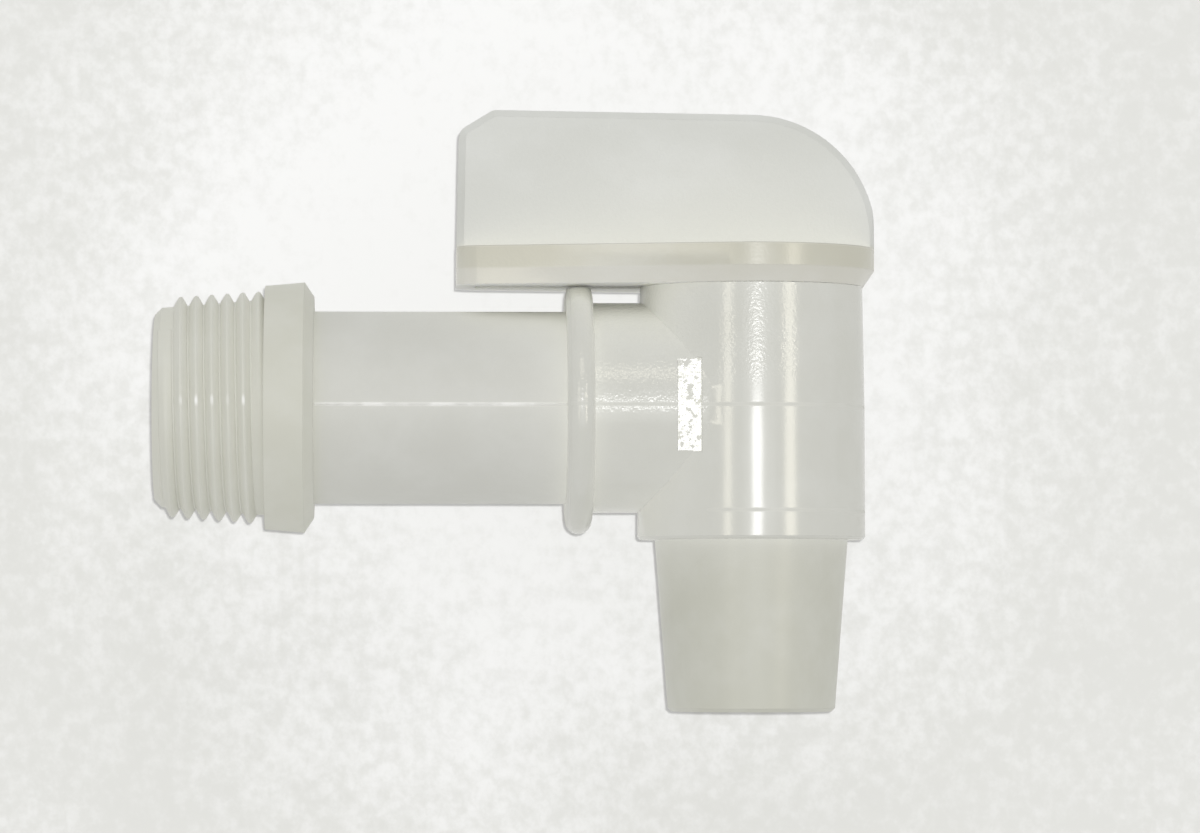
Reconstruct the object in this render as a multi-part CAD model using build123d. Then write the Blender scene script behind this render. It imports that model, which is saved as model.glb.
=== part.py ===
from build123d import *
import os

# Threaded inlet: the cone that the pipe thread is cut from, at its root
thread_length = 12.9
thread_end_radius = 11.7
thread_collar_radius = 12.65
thread_lead_chamfer = 0.8
inlet_bore_radius = 8.5

# Collar behind the thread, with a seating face and a bevelled rear edge
collar_length = 5.7
collar_seat_width = 1.65
collar_flare = 0.4
collar_bevel_length = 1.1
collar_bevel_depth = 1.65

# Plain tube, and the round bead that ends it
tube_radius = 11.3
tube_length = 29.5
bead_width = 3.1
bead_height = 3.56
bead_sides = 16

# Neck between the bead and the valve barrel, with a small flat sunk in each side
neck_step = 1.05
neck_length = 18.8
flat_depth = 1.2
flat_width = 2.8
flat_height = 10.9
flat_setback = 6.4

# Upright valve barrel around the rotary plug
barrel_step = 0.75
barrel_wall = 2.3
barrel_draft = 0.25
barrel_foot_growth = 0.05
barrel_edge = 0.3
seat_depth = 12.0
floor_thickness = 3.5
port_radius = 6.2
port_wall = 2.4
bore_lead_chamfer = 0.4

# Tapered spout below the barrel
spout_length = 20.15
spout_ledge = 2.05
spout_taper = 1.52
spout_edge = 0.4
outlet_bore_radius = 7.6

# Rotary plug, hollow, with one window on the lever's side
plug_clearance = 0.05
plug_end_gap = 0.3
plug_wall = 2.35
window_radius = 6.0
deck_thickness = 3.0

# Snap ring that keeps the plug in its bore
snap_drop = 3.2
snap_height = 1.2
snap_bulge = 0.35
snap_side_gap = 0.2

# Handle base: a teardrop plate, drawn in to the barrel below its edge
lever_gap = 1.85
lever_clearance = 0.3
disc_overhang = 1.4
lever_length = 34.75
lever_end_half_width = 7.0
lever_corner_radius = 3.2
base_height = 4.5
base_bevel_height = 1.9
base_bevel_inset = 1.3

# Upright grip on the base, flush with it at both ends
grip_thickness = 8.6
grip_height = 16.1
grip_fall = 0.7
grip_lean = 0.3
grip_edge = 0.8
grip_corner_run = 4.0
grip_corner_drop = 2.45
grip_corner_radius = 1.6
nose_radius = 14.7

# Core that hollows the grip from below
core_wall = 2.2
core_roof = 3.3
core_corner_radius = 1.0
core_setback = 2.0

# Places worked out from the sizes above
neck_radius = tube_radius + neck_step
bead_radius = tube_radius + bead_height
bead_x = collar_length + tube_length + bead_width / 2
plug_x = collar_length + tube_length + bead_width + neck_length
rim_z = neck_radius + lever_gap
barrel_radius = neck_radius + barrel_step
plug_bore_radius = barrel_radius - barrel_wall
barrel_mid_radius = barrel_radius + barrel_draft
barrel_foot_radius = barrel_mid_radius + barrel_foot_growth
barrel_foot_z = -seat_depth - floor_thickness
spout_top_radius = barrel_foot_radius - spout_ledge
spout_tip_radius = spout_top_radius - spout_taper
spout_tip_z = barrel_foot_z - spout_length
plug_radius = plug_bore_radius - plug_clearance
disc_radius = barrel_radius + disc_overhang
base_top_z = rim_z + base_height
grip_top_z = base_top_z + grip_height
snap_z = rim_z - snap_drop
plug_foot_z = plug_end_gap - seat_depth

# How far a cutting tool runs past the surface that it opens
overcut = 1.0


def rod(radius, start, length, direction):
    """A round bar that starts at a point and runs along a direction."""
    return extrude(Plane(start, z_dir=direction) * Circle(radius), length)


def snap_ridge(radius, height):
    """Ridge about the plug's axis at the snap's height, ramped both ways on a core of some radius."""
    outline = Polyline(
        (0, snap_z - height / 2),
        (radius, snap_z - height / 2),
        (radius + snap_bulge, snap_z),
        (radius, snap_z + height / 2),
        (0, snap_z + height / 2),
        close=True,
    )
    return revolve(Plane.XZ * make_face(outline), Axis.Z)


def inlet_shank():
    """Thread cone, collar, tube and neck as one turned profile along X."""
    collar_radius = thread_collar_radius + collar_seat_width
    collar_back_radius = collar_radius + collar_flare
    outline = Polyline(
        (-thread_length, 0),
        (-thread_length, thread_end_radius - thread_lead_chamfer),
        (-thread_length + thread_lead_chamfer, thread_end_radius),
        (0, thread_collar_radius),
        (0, collar_radius),
        (collar_length - collar_bevel_length, collar_back_radius),
        (collar_length, collar_back_radius - collar_bevel_depth),
        (collar_length, tube_radius),
        (bead_x, tube_radius),
        (bead_x, neck_radius),
        (plug_x, neck_radius),
        (plug_x, 0),
        close=True,
    )
    return revolve(Plane.XZ * make_face(outline), Axis.X)


def bead():
    """Round bead at the end of the tube, flattened on top where the lever passes over it."""
    tip_centre = bead_radius - bead_width / 2
    stem = Pos(bead_x, tip_centre / 2) * Rectangle(bead_width, tip_centre)
    tip = Pos(bead_x, tip_centre) * RegularPolygon(bead_width / 2, bead_sides)
    whole = revolve(Plane.XZ * (stem + tip), Axis.X)
    under_lever = Pos(bead_x, 0, rim_z - lever_clearance) * Box(
        bead_width + overcut,
        2 * bead_radius + overcut,
        2 * bead_radius,
        align=(Align.CENTER, Align.CENTER, Align.MIN),
    )
    return whole - under_lever


def side_flats():
    """The slabs that sink a small flat into each side, where the neck runs into the barrel."""
    slab = Box(flat_width, flat_depth + overcut, flat_height)
    offset_y = neck_radius + (overcut - flat_depth) / 2
    middle_x = plug_x - flat_setback - flat_width / 2
    return Pos(middle_x, offset_y, 0) * slab + Pos(middle_x, -offset_y, 0) * slab


def barrel_and_spout():
    """Valve barrel and tapered spout as one turned profile about the plug's axis."""
    outline = Polyline(
        (0, rim_z),
        (barrel_radius, rim_z),
        (barrel_mid_radius, 0),
        (barrel_foot_radius, barrel_foot_z + barrel_edge),
        (barrel_foot_radius - barrel_edge, barrel_foot_z),
        (spout_top_radius, barrel_foot_z),
        (spout_tip_radius, spout_tip_z + spout_edge),
        (spout_tip_radius - spout_edge, spout_tip_z),
        (0, spout_tip_z),
        close=True,
    )
    return Pos(plug_x, 0, 0) * revolve(Plane.XZ * make_face(outline), Axis.Z)


def waterway():
    """Inlet bore, port, plug bore with its snap groove, and outlet bore, as one cutting tool."""
    port_face_x = plug_x - plug_bore_radius - port_wall
    inlet = rod(inlet_bore_radius, (-thread_length, 0, 0), thread_length + port_face_x, (1, 0, 0))
    port = rod(port_radius, (port_face_x, 0, 0), plug_x - port_face_x, (1, 0, 0))
    plug_bore = rod(plug_bore_radius, (plug_x, 0, -seat_depth), seat_depth + rim_z, (0, 0, 1))
    outlet = rod(outlet_bore_radius, (plug_x, 0, spout_tip_z), -seat_depth - spout_tip_z, (0, 0, 1))
    groove = snap_ridge(plug_bore_radius, snap_height + 2 * snap_side_gap)
    lead = Pos(0, 0, rim_z - bore_lead_chamfer / 2) * Cone(
        plug_bore_radius,
        plug_bore_radius + bore_lead_chamfer,
        bore_lead_chamfer,
    )
    return inlet + port + plug_bore + outlet + Pos(plug_x, 0, 0) * (groove + lead)


def tap_body():
    """Inlet, neck, barrel and spout: one moulding."""
    return inlet_shank() + bead() + barrel_and_spout() - side_flats() - waterway()


def teardrop(radius):
    """Plan of the handle base: a disc over the plug, drawn out to the lever's blunt end."""
    end_x = lever_corner_radius - lever_length
    end_y = lever_end_half_width - lever_corner_radius
    corner = Circle(lever_corner_radius)
    rounds = [Circle(radius), Pos(end_x, end_y) * corner, Pos(end_x, -end_y) * corner]
    return make_hull([edge for part in rounds for edge in part.edges()])


def handle_base():
    """Teardrop plate that turns on the barrel's rim; its bevel fades out towards the lever's end."""
    foot = Pos(0, 0, rim_z) * teardrop(disc_radius - base_bevel_inset)
    shoulder = Pos(0, 0, rim_z + base_bevel_height) * teardrop(disc_radius)
    bevel = loft([foot, shoulder], ruled=True)
    return bevel + extrude(shoulder, base_height - base_bevel_height)


def grip_outline():
    """Side view of the grip: blunt corner over the lever's end, rounded nose over the plug."""
    left = grip_lean - lever_length
    foot_z = rim_z + base_bevel_height
    outline = FilletPolyline(
        (disc_radius, foot_z),
        (-lever_length, foot_z),
        (left, grip_top_z - grip_corner_drop),
        (left + grip_corner_run, grip_top_z),
        (disc_radius, grip_top_z - grip_fall),
        radius=[0, 0, grip_corner_radius, grip_corner_radius, nose_radius],
        close=True,
    )
    return Plane.XZ * make_face(outline)


def grip():
    """Flat-sided upright grip, bevelled along its edges and flush with the base at both ends."""
    slab = extrude(grip_outline(), grip_thickness / 2, both=True)
    flanks = slab.faces().filter_by(Axis.Y)
    foot = slab.faces().sort_by(Axis.Z)[0]
    blade = chamfer(flanks.edges() - foot.edges(), grip_edge)
    column = extrude(Pos(0, 0, rim_z) * teardrop(disc_radius), base_height + grip_height)
    return blade & column


def core():
    """Slot that hollows the grip over the lever, open at the underside."""
    far_end = lever_length - core_wall
    near_end = plug_radius + core_setback
    slot = RectangleRounded(far_end - near_end, grip_thickness - 2 * core_wall, core_corner_radius)
    depth = grip_top_z - core_roof - rim_z
    return extrude(Pos(-(far_end + near_end) / 2, 0, rim_z) * slot, depth)


def plug():
    """Rotary plug under the base, with its snap ring, still solid."""
    stem = rod(plug_radius, (0, 0, plug_foot_z), base_top_z - plug_foot_z, (0, 0, 1))
    return stem + snap_ridge(plug_radius, snap_height)


def plug_hollow():
    """The plug's bore, open at its lower end, and its window towards the lever."""
    bore_length = base_top_z - deck_thickness - plug_foot_z
    bore = rod(plug_radius - plug_wall, (0, 0, plug_foot_z), bore_length, (0, 0, 1))
    window = rod(window_radius, (0, 0, 0), plug_radius + overcut, (-1, 0, 0))
    return bore + window


def handle_plug():
    """Base, grip and rotary plug: one moulding, its lever over the inlet tube."""
    return Pos(plug_x, 0, 0) * (handle_base() + grip() + plug() - plug_hollow() - core())


os.makedirs("parts", exist_ok=True)
export_step(tap_body(), "parts/tap_body.step")
export_step(handle_plug(), "parts/handle_plug.step")
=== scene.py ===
import math

import bpy
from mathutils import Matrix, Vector


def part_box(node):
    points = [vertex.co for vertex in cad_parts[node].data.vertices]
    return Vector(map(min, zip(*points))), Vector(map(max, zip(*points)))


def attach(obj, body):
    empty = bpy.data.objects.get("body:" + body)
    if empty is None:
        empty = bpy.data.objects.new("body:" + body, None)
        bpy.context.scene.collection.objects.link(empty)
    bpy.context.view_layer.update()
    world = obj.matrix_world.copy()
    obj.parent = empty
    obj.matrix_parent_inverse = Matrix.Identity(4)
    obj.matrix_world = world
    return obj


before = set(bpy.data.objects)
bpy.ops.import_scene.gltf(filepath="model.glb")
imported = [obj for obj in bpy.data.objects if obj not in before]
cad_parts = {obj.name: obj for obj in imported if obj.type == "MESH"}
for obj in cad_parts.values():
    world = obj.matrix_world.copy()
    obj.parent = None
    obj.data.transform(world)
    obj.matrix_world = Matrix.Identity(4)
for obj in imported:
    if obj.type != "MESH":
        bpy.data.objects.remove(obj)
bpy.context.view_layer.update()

scene = bpy.context.scene
scene.view_settings.view_transform = "Standard"

mm = 0.001

# Heights above the lever's underside
handle_height = 20.6 * mm
bevel_height = 1.9 * mm
base_height = 4.5 * mm

# Places read from the frame
inlet_end_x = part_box("tap_body")[0].x
handle_low, handle_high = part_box("handle_plug")
lever_under_z = handle_high.z - handle_height
bevel_top_z = lever_under_z + bevel_height
base_top_z = lever_under_z + base_height
plug_x = handle_high.x - handle_high.y
lever_reach = plug_x - handle_low.x

# Pipe thread on the inlet's root cone
thread_pitch = 1.814 * mm
thread_height = 1.08 * mm
thread_sink = 0.25 * mm
root_end_radius = 11.7 * mm
root_collar_radius = 12.65 * mm
first_crest_inset = 1.35 * mm
last_crest_x = -0.35 * mm
top_crest_x = -9.95 * mm
steps_per_turn = 96
fade_turns = 0.3

# Section of the thread: shares of half a pitch across it, and of its height up it
foot_across = 0.86
shoulder_across = 0.32
shoulder_rise = 0.82
crest_across = 0.14
crest_rise = 0.97

# Parting line along both sides of the tube
collar_end_x = 5.7 * mm
tube_end_x = 35.2 * mm
tube_radius = 11.3 * mm
line_radius = 0.11 * mm
line_overlap = 0.2 * mm
line_sides = 8

# Places at which the body's finish changes, and how far a seam shows on both sides
seam_reach = 0.3 * mm
seam_fade = 0.2 * mm
seat_ring_z = -12.2 * mm
barrel_foot_z = -15.5 * mm
flat_x = 49.3 * mm
flat_half_width = 1.4 * mm
flat_half_height = 5.45 * mm
flat_edge = 0.1 * mm
neck_fade = 0.5 * mm

# Colours, as sRGB levels from 0 to 255
thread_tone = (208, 208, 197)
collar_tone = (203, 203, 191)
tube_tone = (202, 202, 195)
barrel_tone = (206, 206, 198)
spout_tone = (195, 195, 183)
mottle_tone = (228, 229, 226)
# Painted highlight: the pale parting line along the tube
seam_highlight_tone = (248, 248, 245)
# Painted highlight: the pale dash on each thread crest
crest_highlight_tone = (244, 244, 240)
# Painted light: the paler colour of corners, which cancels their shade
painted_corner_tone = (245, 245, 238)
bevel_tone = (207, 205, 194)
base_tone = (197, 195, 180)
grip_tone = (207, 208, 202)
haze_tone = (232, 233, 231)
paper_dull_tone = (230, 230, 226)
paper_bright_tone = (253, 253, 252)
backdrop_tone = (238, 238, 235)

# Patterns in the finishes, as cells per metre
mottle_scale = 150
seam_scale = 260
crest_scale = 420
speckle_scale = 1100
haze_scale = 70
paper_drift_scale = 28
paper_mottle_scale = 600

# Roughness of the finishes
matte = 0.5
bright = 0.17
satin = 0.36
base_gloss = 0.26
speckle_dull = 0.55
speckle_bright = 0.15

# Moulded surface: rounding of its edges, slow waves and fine peel, with their cells per metre
edge_rounding = 0.15 * mm
wave_scale = 220
wave_height = 0.05 * mm
wave_strength = 0.4
peel_scale = 2700
peel_height = 0.07 * mm

# Strength of the peel, from the smooth to the grained stretch of a surface
neck_peel = (0.05, 0.7)
barrel_peel = (0.02, 0.3)
handle_peel = (0.15, 0.4)
flat_peel = 0.22

# Shading of the nodes: seams closer than the gap are welded, and edges past the angle stay sharp
weld_gap = 0.002 * mm
crisp_angle = math.radians(24)

# Milky plastic: how far walls light each other, the deepest corner and the thread's strength for the painted
# light in corners that cancels their shade, and how deep light goes in
corner_reach = 14 * mm
corner_openness = 0.34
thread_painted_light_strength = 0.42
light_depth = 8 * mm

# Camera
image_width_px = 1200
focal_px = 5780
sensor_width_mm = 36
camera_distance = 680 * mm
camera_azimuth = -2.0
camera_elevation = -2.1
view_centre = Vector((39.3 * mm, 0, -1.0 * mm))

# Sheet of paper behind the tap, far enough for the lever to turn in front of it
paper_y = lever_reach + 1.0 * mm
paper_size = 2.4
# Painted light: a pool of painted light on the paper around the tap, which also fills its shadow there
painted_light_spot = view_centre + Vector((-5 * mm, paper_y, 15 * mm))
painted_light_spot_inner = 20 * mm
painted_light_spot_outer = 84 * mm
paper_even_share = 0.45
paper_glow = 0.22

# Light: the room's even level, and the lamps' distances, colours and degrees off the camera
room_strength = 0.84
lamp_distance = 700 * mm
strip_distance = 600 * mm
lamp_offset = 0.45
white = (1, 1, 1)
warm = (1, 0.95, 0.8)


def paint(tone):
    """Linear colour of an sRGB tone."""

    def linear(level):
        level = level / 255
        if level <= 0.04045:
            return level / 12.92
        return ((level + 0.055) / 1.055) ** 2.4

    red, green, blue = tone
    return (linear(red), linear(green), linear(blue), 1)


def direction(azimuth, elevation):
    """Unit vector towards a place around the object: azimuth 0 is in front, 90 is at the spout's side."""
    turn = math.radians(azimuth)
    rise = math.radians(elevation)
    return Vector((math.sin(turn) * math.cos(rise), -math.cos(turn) * math.cos(rise), math.sin(rise)))


def add_node(tree, kind, values=None, links=None, **options):
    """Adds a shader node with its options, socket values and incoming links."""
    node = tree.nodes.new("ShaderNode" + kind)
    for option, value in options.items():
        setattr(node, option, value)
    for socket, value in (values or {}).items():
        node.inputs[socket].default_value = value
    for socket, source in (links or {}).items():
        tree.links.new(source, node.inputs[socket])
    return node


def new_material(name):
    """An empty node material and its tree."""
    material = bpy.data.materials.new(name)
    material.use_nodes = True
    material.node_tree.nodes.clear()
    return material, material.node_tree


def step(tree, source, start, end, low, high):
    """A value that goes from low to high while the source goes from start to end."""
    return add_node(
        tree,
        "MapRange",
        values={"From Min": start, "From Max": end, "To Min": low, "To Max": high},
        links={"Value": source},
        interpolation_type="SMOOTHSTEP",
    ).outputs["Result"]


def noise(tree, place, scale, detail, stretch=(1, 1, 1)):
    """Noise in the object's own space, as a value from 0 to 1."""
    mapping = add_node(tree, "Mapping", values={"Scale": stretch}, links={"Vector": place})
    return add_node(
        tree,
        "TexNoise",
        values={"Scale": scale, "Detail": detail, "Roughness": 0.6},
        links={"Vector": mapping.outputs["Vector"]},
    ).outputs["Fac"]


def feed(tree, socket, source):
    """Gives a socket what it takes: another node's output, or a plain value."""
    if isinstance(source, bpy.types.NodeSocket):
        tree.links.new(source, socket)
    else:
        socket.default_value = source


def blend_colour(tree, share, first, second):
    """Colour that goes from first to second with a share."""
    node = add_node(tree, "Mix", links={"Factor": share}, data_type="RGBA", clamp_factor=True)
    feed(tree, node.inputs[6], first)
    feed(tree, node.inputs[7], second)
    return node.outputs[2]


def blend_value(tree, share, first, second):
    """Value that goes from first to second with a share."""
    node = add_node(tree, "Mix", links={"Factor": share}, data_type="FLOAT")
    feed(tree, node.inputs[2], first)
    feed(tree, node.inputs[3], second)
    return node.outputs[0]


def combine(tree, operation, first, second):
    """Two values put together by a sum, a product or the like."""
    return add_node(tree, "Math", links={0: first, 1: second}, operation=operation).outputs["Value"]


def product(tree, first, second):
    """Two values multiplied."""
    return combine(tree, "MULTIPLY", first, second)


def size_of(tree, source):
    """A value without its sign."""
    return add_node(tree, "Math", links={0: source}, operation="ABSOLUTE").outputs["Value"]


def near_level(tree, source, level, reach, fade):
    """A value that is 1 where the source is near a level and fades to 0 at a reach from it."""
    offset = add_node(tree, "Math", values={1: level}, links={0: source}, operation="SUBTRACT")
    away = size_of(tree, offset.outputs["Value"])
    return step(tree, away, reach, reach - fade, 0, 1)


def painted_corner_light(tree, colour, strength):
    """Colour painted paler in corners: painted light for what milky walls pass on to each other, which
    cancels the corners' shade.
    """
    openness = add_node(tree, "AmbientOcclusion", values={"Distance": corner_reach}, samples=8).outputs["AO"]
    painted_corner_share = add_node(
        tree,
        "MapRange",
        values={"From Min": 1, "From Max": corner_openness, "To Min": 0},
        links={"Value": openness},
    )
    feed(tree, painted_corner_share.inputs["To Max"], strength)
    return blend_colour(tree, painted_corner_share.outputs["Result"], colour, paint(painted_corner_tone))


def polyethylene(tree, colour, roughness, normal, depth):
    """Milky polyethylene of some colour, gloss and surface, which light enters by some share."""
    shader = add_node(
        tree,
        "BsdfPrincipled",
        values={"IOR": 1.5, "Subsurface Radius": (1, 1, 0.9), "Subsurface Scale": light_depth},
        links={"Base Color": colour, "Roughness": roughness, "Normal": normal},
    )
    feed(tree, shader.inputs["Subsurface Weight"], depth)
    add_node(tree, "OutputMaterial", links={"Surface": shader.outputs["BSDF"]})


def moulded_surface(tree, place, peel):
    """Normal of a moulded surface: rounded edges, slow waves and a peel of some strength."""
    rounded = add_node(tree, "Bevel", values={"Radius": edge_rounding}, samples=4).outputs["Normal"]
    waves = noise(tree, place, wave_scale, 1)
    wavy = add_node(
        tree,
        "Bump",
        values={"Strength": wave_strength, "Distance": wave_height},
        links={"Height": waves, "Normal": rounded},
    ).outputs["Normal"]
    fine = noise(tree, place, peel_scale, 1)
    return add_node(
        tree,
        "Bump",
        values={"Distance": peel_height},
        links={"Strength": peel, "Height": fine, "Normal": wavy},
    ).outputs["Normal"]


def body_colour(tree, place, along, height, past_tube, on_spout):
    """Colours of the body, with mottling and a painted highlight: the pale, broken parting line of the tube.
    """
    past_thread = step(tree, along, -0.6 * mm, 0, 0, 1)
    past_collar = step(tree, along, collar_end_x - 1 * mm, collar_end_x + 2 * mm, 0, 1)
    colour = blend_colour(tree, past_thread, paint(thread_tone), paint(collar_tone))
    colour = blend_colour(tree, past_collar, colour, paint(tube_tone))
    colour = blend_colour(tree, past_tube, colour, paint(barrel_tone))
    colour = blend_colour(tree, on_spout, colour, paint(spout_tone))
    mottle = step(tree, noise(tree, place, mottle_scale, 4), 0.35, 0.75, 0, 0.16)
    colour = blend_colour(tree, mottle, colour, paint(mottle_tone))
    # Painted highlight along the tube's parting line, broken into dashes
    broken = step(tree, noise(tree, place, seam_scale, 2), 0.42, 0.6, 0.45, 1)
    seam = product(tree, broken, near_level(tree, height, 0, seam_reach, seam_fade))
    tube_middle_x = (collar_end_x + tube_end_x) / 2
    on_tube = near_level(tree, along, tube_middle_x, tube_end_x - tube_middle_x, seam_reach)
    return blend_colour(tree, product(tree, on_tube, seam), colour, paint(seam_highlight_tone))


def painted_crest_highlights(tree, place, split, colour):
    """Colour with a painted highlight: a pale dash on each thread crest, where the moulding's halves meet."""
    along = split.outputs["X"]
    slope = (root_collar_radius - root_end_radius) / inlet_end_x
    crest = add_node(
        tree,
        "Math",
        values={1: slope},
        links={0: along, 2: size_of(tree, split.outputs["Y"])},
        operation="MULTIPLY_ADD",
    ).outputs["Value"]
    crest_radius = root_collar_radius + crest_rise * thread_height
    on_crest = step(tree, crest, crest_radius - 0.12 * mm, crest_radius - 0.02 * mm, 0, 1)
    before_collar = step(tree, along, -0.3 * mm, -0.1 * mm, 1, 0)
    dash = near_level(tree, split.outputs["Z"], 0.4 * mm, 0.9 * mm, 0.8 * mm)
    uneven = step(tree, noise(tree, place, crest_scale, 1), 0.35, 0.65, 0.25, 1)
    share = product(tree, product(tree, on_crest, dash), product(tree, uneven, before_collar))
    return blend_colour(tree, share, colour, paint(crest_highlight_tone))


def body_roughness(tree, place, along, height, past_flats, on_flat, on_spout):
    """Matte thread, collar and tube, bright neck and barrel with two dull rings, satin spout."""
    roughness = step(tree, along, tube_end_x, tube_end_x + neck_fade, matte, bright)
    seam = near_level(tree, height, 0, seam_reach, seam_fade)
    ring = product(tree, past_flats, near_level(tree, height, seat_ring_z, seam_reach, seam_fade))
    for dull in (seam, ring):
        roughness = blend_value(tree, dull, roughness, matte)
    specks = noise(tree, place, speckle_scale, 3)
    speckle = step(tree, specks, 0.38, 0.44, speckle_dull, speckle_bright)
    roughness = blend_value(tree, on_flat, roughness, speckle)
    return blend_value(tree, on_spout, roughness, satin)


def body_material():
    """Milky plastic of the body, grained on the neck and on the upper barrel, smooth on the flats."""
    material, tree = new_material("body_polyethylene")
    place = add_node(tree, "TexCoord").outputs["Object"]
    split = add_node(tree, "SeparateXYZ", links={"Vector": place})
    along = split.outputs["X"]
    height = split.outputs["Z"]
    past_tube = step(tree, along, tube_end_x, tube_end_x + neck_fade, 0, 1)
    past_flats = step(tree, along, flat_x + flat_half_width, flat_x + 2 * flat_half_width, 0, 1)
    on_spout = step(tree, height, barrel_foot_z + 0.2 * mm, barrel_foot_z - 0.3 * mm, 0, 1)
    flat_across = near_level(tree, along, flat_x, flat_half_width + flat_edge, flat_edge)
    flat_upright = near_level(tree, height, 0, flat_half_height + flat_edge, flat_edge)
    on_flat = product(tree, flat_across, flat_upright)

    colour = body_colour(tree, place, along, height, past_tube, on_spout)
    # Painted highlight on the thread crests
    colour = painted_crest_highlights(tree, place, split, colour)
    # Painted light in corners, weaker in the thread's grooves
    corner_strength = step(tree, along, collar_end_x, collar_end_x + 8 * mm, thread_painted_light_strength, 1)
    colour = painted_corner_light(tree, colour, corner_strength)
    roughness = body_roughness(tree, place, along, height, past_flats, on_flat, on_spout)
    on_neck = product(tree, past_tube, step(tree, height, -1.5 * mm, 0, *neck_peel))
    on_barrel = step(tree, height, 1.5 * mm, 4.5 * mm, *barrel_peel)
    peel = blend_value(tree, past_flats, on_neck, on_barrel)
    peel = blend_value(tree, on_flat, peel, flat_peel)
    polyethylene(tree, colour, roughness, moulded_surface(tree, place, peel), 0)
    return material


def handle_material():
    """Hazy white grip over a yellower, glossier base with a pale bevel and a lit underside."""
    material, tree = new_material("handle_polyethylene")
    place = add_node(tree, "TexCoord").outputs["Object"]
    height = add_node(tree, "SeparateXYZ", links={"Vector": place}).outputs["Z"]
    grip_start = base_top_z - 0.3 * mm
    on_grip = step(tree, height, grip_start, base_top_z + 0.5 * mm, 0, 1)
    past_bevel = step(tree, height, bevel_top_z - 0.2 * mm, bevel_top_z + 0.2 * mm, 0, 1)
    colour = blend_colour(tree, past_bevel, paint(bevel_tone), paint(base_tone))
    colour = blend_colour(tree, on_grip, colour, paint(grip_tone))
    haze = noise(tree, place, haze_scale, 5, stretch=(0.6, 1, 1))
    cloudy = step(tree, haze, 0.4, 0.7, 0, 0.3)
    # Painted light in the handle's corners, over its hazy colour
    colour = painted_corner_light(tree, blend_colour(tree, cloudy, colour, paint(haze_tone)), 1)
    roughness = step(tree, height, grip_start, base_top_z + 0.3 * mm, base_gloss, matte)
    peel = step(tree, height, grip_start, base_top_z + 0.3 * mm, *handle_peel)
    underside = near_level(tree, height, lever_under_z, 0.06 * mm, 0.02 * mm)
    polyethylene(tree, colour, roughness, moulded_surface(tree, place, peel), underside)
    return material


def paper_material():
    """White paper with a fine mottle and a painted pool of light around the tap, seen from its front only."""
    material, tree = new_material("paper")
    place = add_node(tree, "TexCoord").outputs["Object"]
    # Painted pool of light around the tap
    from_spot = add_node(
        tree, "VectorMath", values={1: painted_light_spot}, links={0: place}, operation="DISTANCE"
    ).outputs["Value"]
    near = step(tree, from_spot, painted_light_spot_inner, painted_light_spot_outer, 0.65, -0.06)
    drift = step(tree, noise(tree, place, paper_drift_scale, 2), 0.25, 0.75, -0.12, 0.12)
    mottle = step(tree, noise(tree, place, paper_mottle_scale, 4), 0.25, 0.75, 0.1, 0.5)
    tone = combine(tree, "ADD", combine(tree, "ADD", near, drift), mottle)
    share = step(tree, tone, 0.1, 1.0, 0, 1)
    colour = blend_colour(tree, share, paint(paper_dull_tone), paint(paper_bright_tone))
    lit = add_node(tree, "BsdfDiffuse", links={"Color": colour}).outputs["BSDF"]
    seen = step(tree, add_node(tree, "LightPath").outputs["Is Camera Ray"], 0, 1, 0, paper_glow)
    even = add_node(tree, "Emission", links={"Color": colour, "Strength": seen}).outputs["Emission"]
    front = add_node(
        tree, "MixShader", values={"Fac": paper_even_share}, links={1: lit, 2: even}
    ).outputs["Shader"]
    clear = add_node(tree, "BsdfTransparent").outputs["BSDF"]
    behind = add_node(tree, "NewGeometry").outputs["Backfacing"]
    either = add_node(tree, "MixShader", links={"Fac": behind, 1: front, 2: clear}).outputs["Shader"]
    add_node(tree, "OutputMaterial", links={"Surface": either})
    return material


def new_mesh(name, points, faces, smooth=True):
    """A mesh object from points and faces, linked to the scene."""
    mesh = bpy.data.meshes.new(name)
    mesh.from_pydata(points, [], faces)
    if smooth:
        mesh.shade_smooth()
    else:
        mesh.shade_flat()
    made = bpy.data.objects.new(name, mesh)
    scene.collection.objects.link(made)
    return made


def tube_faces(rings, size):
    """Faces of a closed bar whose points lie in rings of one size, one ring after the other."""
    last = (rings - 1) * size
    faces = [tuple(range(size)), tuple(reversed(range(last, last + size)))]
    for near in range(0, last, size):
        far = near + size
        for corner in range(size):
            following = (corner + 1) % size
            faces.append((near + corner, far + corner, far + following, near + following))
    return faces


def root_radius(x):
    """Radius of the thread's root cone at a place along the inlet."""
    share = (x - inlet_end_x) / -inlet_end_x
    return root_end_radius + share * (root_collar_radius - root_end_radius)


def thread_section():
    """Outline of the thread: places along the inlet and heights over the root cone."""
    half = thread_pitch / 2
    falling = (
        (crest_across * half, crest_rise * thread_height),
        (shoulder_across * half, shoulder_rise * thread_height),
        (foot_across * half, 0),
        (foot_across * half, -thread_sink),
    )
    rising = tuple((-across, rise) for across, rise in reversed(falling))
    return rising + falling


def thread_ridge():
    """Right-handed helical ridge, full in height but for its two ends."""
    start_x = inlet_end_x + first_crest_inset
    turns = (last_crest_x - start_x) / thread_pitch
    steps = round(turns * steps_per_turn)
    top_turn = (top_crest_x - start_x) / thread_pitch
    section = thread_section()
    points = []
    for index in range(steps + 1):
        turn = index / steps_per_turn
        angle = math.tau * (turn - top_turn + 0.25)
        fade = min(1, turn / fade_turns, (turns - turn) / fade_turns)
        for across, rise in section:
            x = start_x + turn * thread_pitch + across
            lift = rise * fade if rise > 0 else rise
            radius = root_radius(x) + lift
            points.append((x, radius * math.cos(angle), radius * math.sin(angle)))
    return new_mesh("thread_ridge", points, tube_faces(steps + 1, len(section)))


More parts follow.
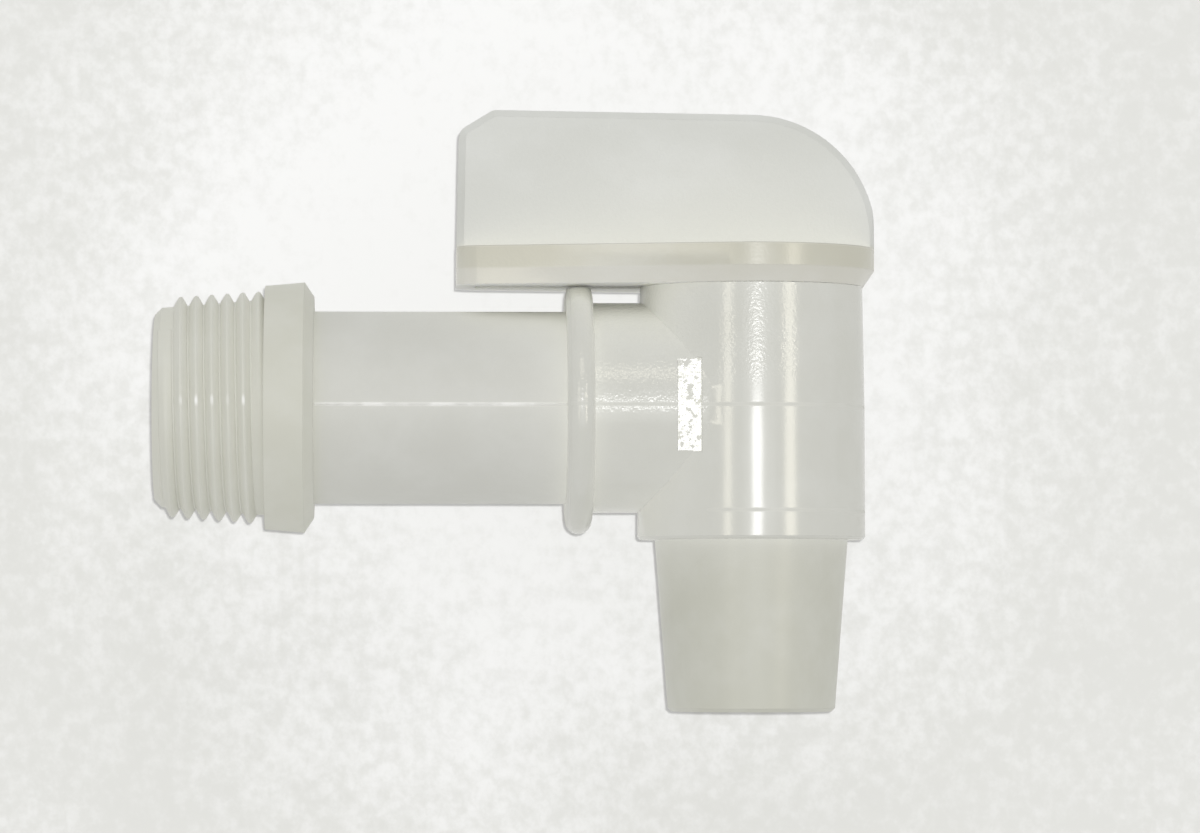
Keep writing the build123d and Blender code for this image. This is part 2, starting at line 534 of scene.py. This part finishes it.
def parting_line(name, side):
    """Thin moulding line along one side of the tube."""
    points = []
    for x in (collar_end_x - line_overlap, tube_end_x + line_overlap):
        for corner in range(line_sides):
            angle = math.tau * corner / line_sides
            out = tube_radius + line_radius * math.cos(angle)
            points.append((x, side * out, line_radius * math.sin(angle)))
    return new_mesh(name, points, tube_faces(2, line_sides))


def smooth_shell(node):
    """Welds a CAD node's seams and shades it smooth up to its real edges."""
    node.data.attributes.remove(node.data.attributes["custom_normal"])
    node.data.shade_smooth()
    weld = node.modifiers.new("weld", "WELD")
    weld.merge_threshold = weld_gap


def crisp_edges(node):
    """Keeps a node's real edges sharp; it comes after what changes the shape."""
    split = node.modifiers.new("edges", "EDGE_SPLIT")
    split.split_angle = crisp_angle


def fuse(node, pieces):
    """Makes raised pieces one surface with a node, and hides the loose pieces."""
    raised = bpy.data.collections.new("raised on " + node.name)
    scene.collection.children.link(raised)
    for piece in pieces:
        scene.collection.objects.unlink(piece)
        raised.objects.link(piece)
        piece.hide_render = True
        piece.hide_set(True)
    union = node.modifiers.new("raised", "BOOLEAN")
    union.operation = "UNION"
    union.solver = "EXACT"
    union.operand_type = "COLLECTION"
    union.collection = raised


def stand_around(made, place, distance):
    """Puts a lamp or a camera at an azimuth and elevation around the object, facing its middle."""
    towards = direction(*place)
    made.location = view_centre + distance * towards
    made.rotation_euler = towards.to_track_quat("Z", "Y").to_euler()
    scene.collection.objects.link(made)


def area_light(name, place, distance, size, power, colour):
    """A rectangular lamp of some width, height and watts around the object."""
    data = bpy.data.lights.new(name, "AREA")
    data.shape = "RECTANGLE"
    data.size, data.size_y = size
    data.energy = power
    data.color = colour
    lamp = bpy.data.objects.new(name, data)
    stand_around(lamp, place, distance)
    return lamp


def pale_world():
    """Even soft light from all round, with a pale backdrop for the camera."""
    world = bpy.data.worlds.new("pale room")
    world.use_nodes = True
    tree = world.node_tree
    tree.nodes.clear()
    light = add_node(tree, "Background", values={"Color": (1, 1, 1, 1), "Strength": room_strength})
    backdrop = add_node(tree, "Background", values={"Color": paint(backdrop_tone), "Strength": 1})
    seen = add_node(tree, "LightPath").outputs["Is Camera Ray"]
    either = add_node(
        tree,
        "MixShader",
        links={"Fac": seen, 1: light.outputs["Background"], 2: backdrop.outputs["Background"]},
    )
    add_node(tree, "OutputWorld", links={"Surface": either.outputs["Shader"]})
    scene.world = world


def paper_sheet():
    """The sheet of paper behind the tap, which takes its shadow and lets the back be seen."""
    half = paper_size / 2
    corners = [(-half, paper_y, -half), (half, paper_y, -half), (half, paper_y, half), (-half, paper_y, half)]
    sheet = new_mesh("paper_sheet", corners, [(0, 1, 2, 3)], smooth=False)
    sheet.data.materials.append(paper_material())
    sheet.visible_diffuse = False
    sheet.visible_shadow = False
    return sheet


def photo_camera():
    """Camera at the photograph's angle."""
    data = bpy.data.cameras.new("photo_camera")
    data.sensor_width = sensor_width_mm
    data.lens = focal_px * sensor_width_mm / image_width_px
    data.clip_start = 50 * mm
    camera = bpy.data.objects.new("photo_camera", data)
    stand_around(camera, (camera_azimuth, camera_elevation), camera_distance)
    scene.camera = camera


def dress_body():
    """Finishes the tap's body and adds its thread and parting lines."""
    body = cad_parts["tap_body"]
    finish = body_material()
    smooth_shell(body)
    raised = [thread_ridge(), parting_line("parting_line_front", -1), parting_line("parting_line_back", 1)]
    fuse(body, raised)
    crisp_edges(body)
    for piece in raised:
        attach(piece, "body")
    for piece in (body, *raised):
        piece.data.materials.clear()
        piece.data.materials.append(finish)


def dress_handle():
    """Finishes the handle and its plug."""
    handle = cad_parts["handle_plug"]
    smooth_shell(handle)
    crisp_edges(handle)
    handle.data.materials.clear()
    handle.data.materials.append(handle_material())


def light_paper(sheet, beside):
    """A lamp beside the camera for the sheet alone, on which it draws the tap's narrow shadow."""
    lamp = area_light("paper_lamp", beside, lamp_distance, (4 * mm, 4 * mm), 3.7, white)
    lit = bpy.data.collections.new("lit by the paper lamp")
    lit.objects.link(sheet)
    lamp.light_linking.receiver_collection = lit


def light_object(beside):
    """One lamp beside the camera and one above for the light; a flash and warm strips for the gloss."""
    front = area_light("front", beside, lamp_distance, (25 * mm, 25 * mm), 0.32, white)
    above = area_light("above", (10, 45), lamp_distance, (700 * mm, 400 * mm), 0.45, white)
    for lamp in (front, above):
        lamp.visible_glossy = False
    flash = area_light("flash", (4.2, 1.6), lamp_distance, (120 * mm, 60 * mm), 0.475, white)
    sheen = area_light("sheen", (6, 0), lamp_distance, (400 * mm, 400 * mm), 0.5, white)
    right = area_light("strip_right", (37.6, 3), strip_distance, (110 * mm, 300 * mm), 0.7, warm)
    left = area_light("strip_left", (-25, 3), strip_distance, (75 * mm, 300 * mm), 0.4, warm)
    upper = area_light("strip_above", (2, 36), strip_distance, (300 * mm, 60 * mm), 0.3, warm)
    for lamp in (flash, sheen, right, left, upper):
        lamp.visible_diffuse = False


dress_body()
dress_handle()
pale_world()
beside_camera = (camera_azimuth + lamp_offset, camera_elevation + lamp_offset)
light_object(beside_camera)
light_paper(paper_sheet(), beside_camera)
photo_camera()
